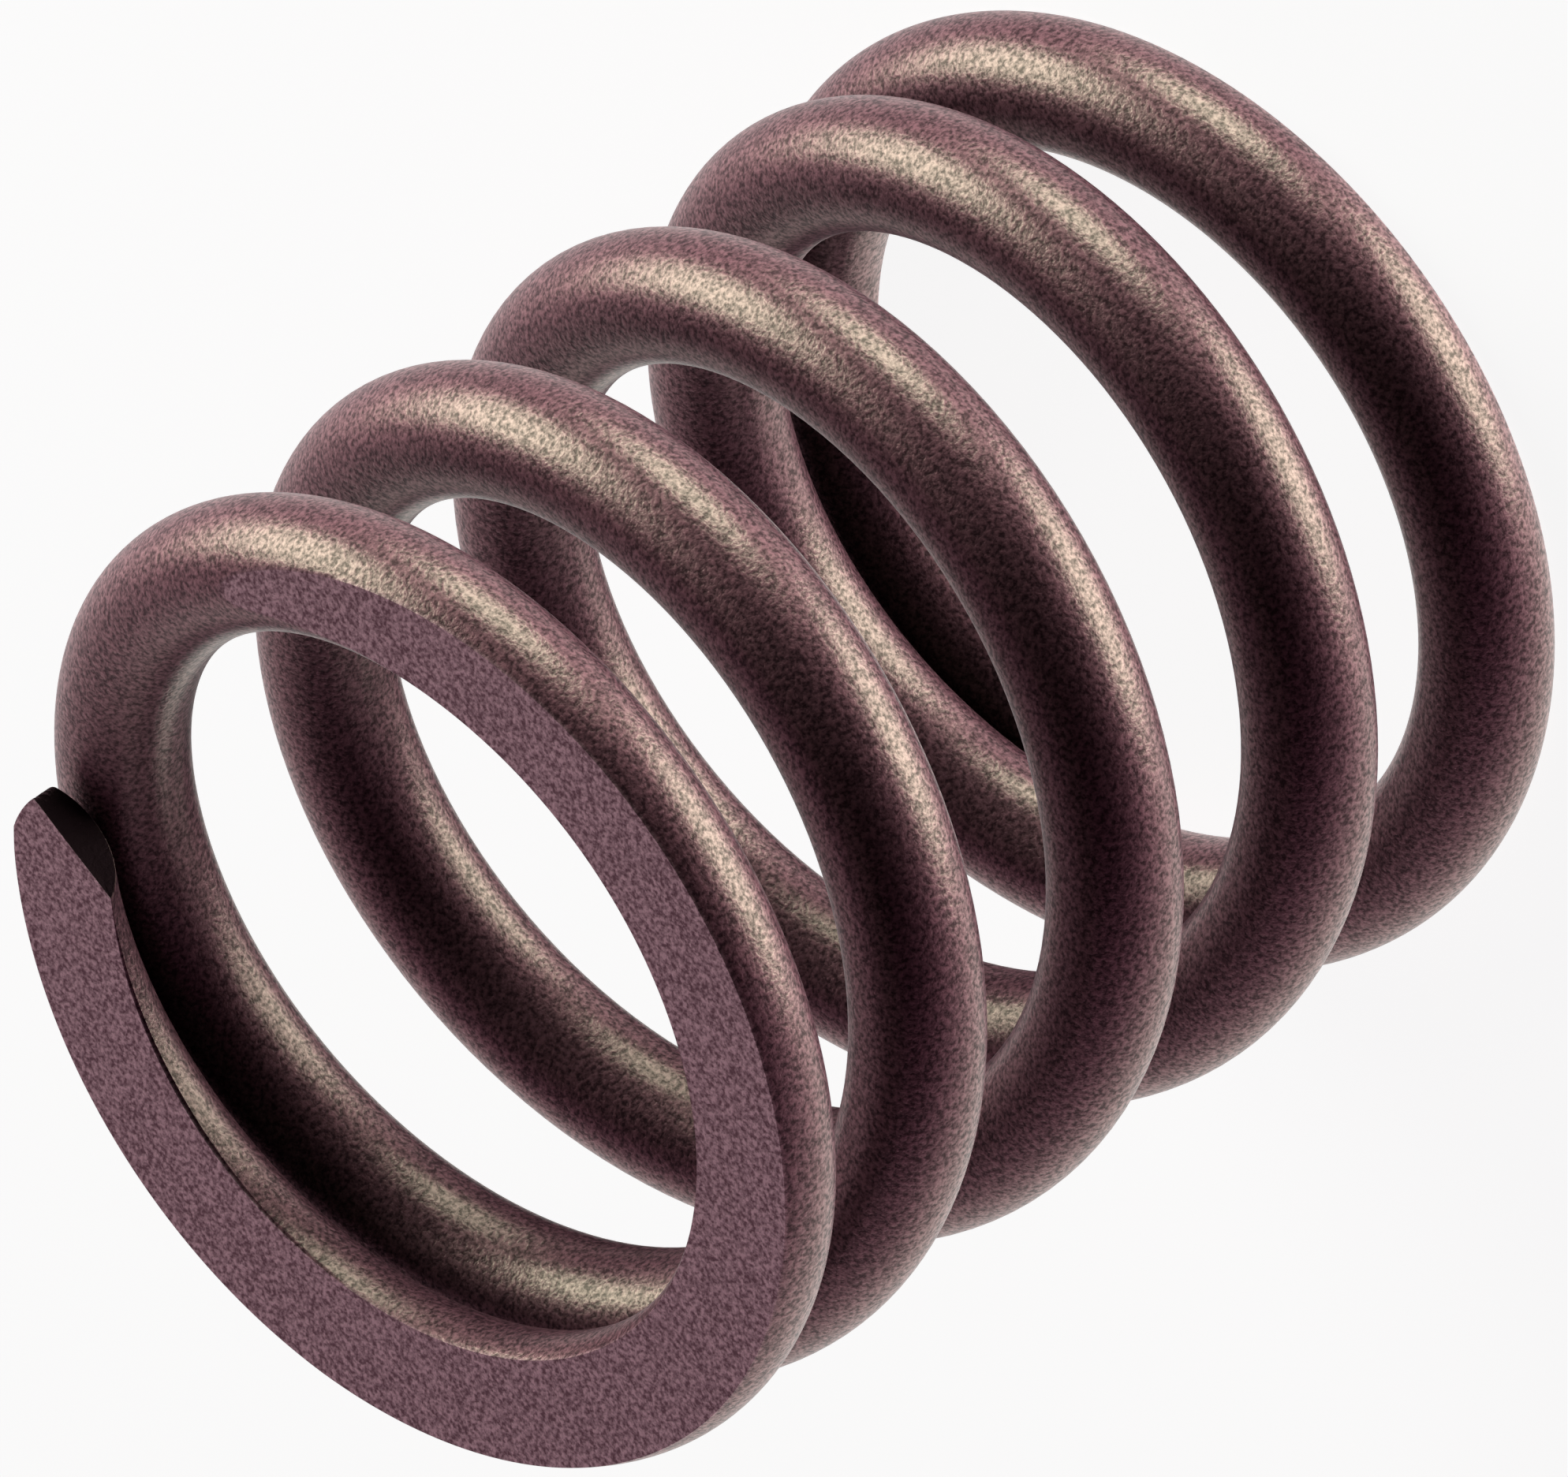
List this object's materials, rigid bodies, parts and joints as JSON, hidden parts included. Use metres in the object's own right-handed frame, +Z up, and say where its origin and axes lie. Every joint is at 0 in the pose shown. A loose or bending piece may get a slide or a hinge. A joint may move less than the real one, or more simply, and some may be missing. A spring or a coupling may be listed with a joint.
{
  "type": "valve spring",
  "caption": "Round-wire compression spring with closed, ground ends; it pushes a valve back onto its seat.",
  "frame": {"origin": "centre of the lower ground face, on the coil's axis", "axes": "+Z up the coil's axis to the other ground face; the lower tip of the wire is on +X"},
  "size_m": [0.0306, 0.0306, 0.0347],
  "materials": {
    "spring_steel": "matte grey-brown shot-peened wire with ground end faces"
  },
  "bodies": {
    "root": {"valve_spring": "spring_steel"}
  },
  "joints": []
}
